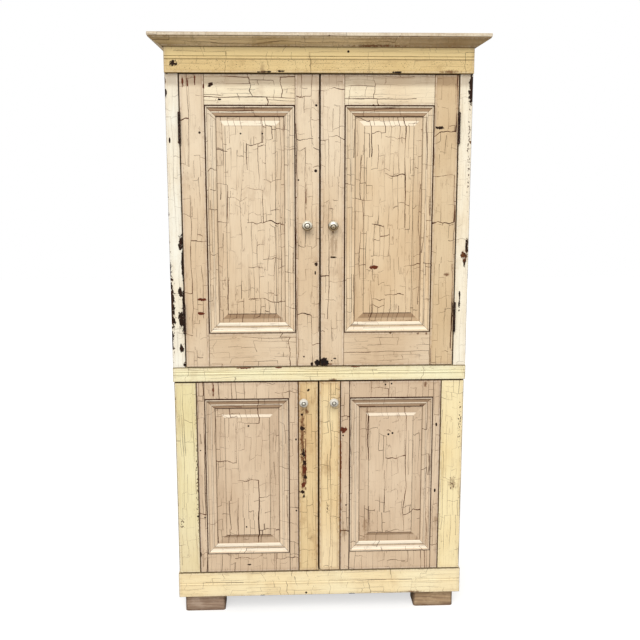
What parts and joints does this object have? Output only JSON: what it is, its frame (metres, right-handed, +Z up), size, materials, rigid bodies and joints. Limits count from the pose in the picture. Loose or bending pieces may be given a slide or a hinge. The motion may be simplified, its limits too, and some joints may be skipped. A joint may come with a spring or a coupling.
{
  "type": "two-tier cupboard",
  "caption": "Tall painted country cupboard with a sloping cornice, panelled doors above and below a beaded waist rail, shelves inside and block feet.",
  "frame": {"origin": "centre of the bounding box's underside, on the floor", "axes": "+Z up, -Y the front with its doors, +Y the back, +X to the viewer's right"},
  "size_m": [1.09, 0.5174, 1.99],
  "materials": {
    "beige_paint": "old beige-pink oil paint, crackled, low sheen",
    "greyed_beige_paint": "old greyed beige oil paint, crackled, low sheen",
    "yellow_paint": "old pale yellow oil paint, crackled, low sheen",
    "cream_paint": "old cream oil paint, crackled and chipped, low sheen",
    "dirty_cream_paint": "grimy cream paint, worn, matt",
    "bare_wood": "bare softwood, aged, matt",
    "weathered_wood": "weathered grey-brown wood, rubbed paint, matt",
    "dark_iron": "dark old iron, paint-spotted, dull",
    "aged_nickel": "nickel plate worn to brass, dulled",
    "white_china": "white glazed china, grimy round its neck"
  },
  "bodies": {
    "case": {"left_side": "cream_paint", "right_side": "cream_paint", "bottom_board": "bare_wood", "lower_shelf": "bare_wood", "waist_deck": "bare_wood", "upper_shelf_low": "bare_wood", "upper_shelf_high": "bare_wood", "back_panel": "bare_wood", "base_rail": "yellow_paint", "waist_rail": "yellow_paint", "frieze_board": "yellow_paint", "left_corner_stile": "cream_paint", "right_corner_stile": "cream_paint", "crown_front": "dirty_cream_paint", "crown_left": "dirty_cream_paint", "crown_right": "dirty_cream_paint", "cornice_top": "dirty_cream_paint", "front_left_foot": "weathered_wood", "front_right_foot": "weathered_wood", "back_left_foot": "weathered_wood", "back_right_foot": "weathered_wood", "upper_left_low_case_leaf": "dark_iron", "upper_left_high_case_leaf": "dark_iron", "upper_right_low_case_leaf": "dark_iron", "upper_right_high_case_leaf": "dark_iron", "lower_left_top_pivot": "dark_iron", "lower_left_bottom_pivot": "dark_iron", "lower_right_top_pivot": "dark_iron", "lower_right_bottom_pivot": "dark_iron"},
    "upper_left_door": {"upper_left_hinge_stile": "beige_paint", "upper_left_meeting_stile": "beige_paint", "upper_left_top_rail": "beige_paint", "upper_left_bottom_rail": "beige_paint", "upper_left_panel": "beige_paint", "upper_left_moulding": "beige_paint", "upper_left_knob": "aged_nickel", "upper_left_low_door_leaf": "dark_iron", "upper_left_high_door_leaf": "dark_iron"},
    "upper_right_door": {"upper_right_hinge_stile": "beige_paint", "upper_right_meeting_stile": "beige_paint", "upper_right_top_rail": "beige_paint", "upper_right_bottom_rail": "beige_paint", "upper_right_panel": "beige_paint", "upper_right_moulding": "beige_paint", "upper_right_knob": "aged_nickel", "upper_right_low_door_leaf": "dark_iron", "upper_right_high_door_leaf": "dark_iron"},
    "lower_left_door": {"lower_left_outer_board": "yellow_paint", "lower_left_inner_board": "yellow_paint", "lower_left_frame": "greyed_beige_paint", "lower_left_panel": "greyed_beige_paint", "lower_left_moulding": "greyed_beige_paint", "lower_left_knob": "white_china"},
    "lower_right_door": {"lower_right_outer_board": "yellow_paint", "lower_right_inner_board": "yellow_paint", "lower_right_frame": "greyed_beige_paint", "lower_right_panel": "greyed_beige_paint", "lower_right_moulding": "greyed_beige_paint", "lower_right_knob": "white_china"}
  },
  "joints": [
    {"name": "upper_left_door_hinge", "type": "hinge", "parent": "case", "child": "upper_left_door", "pos_m": [-0.45655, -0.19875, 0.9025], "axis": [0, 0, -1], "range_deg": [0, 165]},
    {"name": "upper_right_door_hinge", "type": "hinge", "parent": "case", "child": "upper_right_door", "pos_m": [0.45655, -0.19875, 0.9025], "axis": [0, 0, 1], "range_deg": [0, 165]},
    {"name": "lower_left_door_hinge", "type": "hinge", "parent": "case", "child": "lower_left_door", "pos_m": [-0.486, -0.18635, 0.159], "axis": [0, 0, -1], "range_deg": [0, 165]},
    {"name": "lower_right_door_hinge", "type": "hinge", "parent": "case", "child": "lower_right_door", "pos_m": [0.486, -0.18635, 0.159], "axis": [0, 0, 1], "range_deg": [0, 165]}
  ]
}
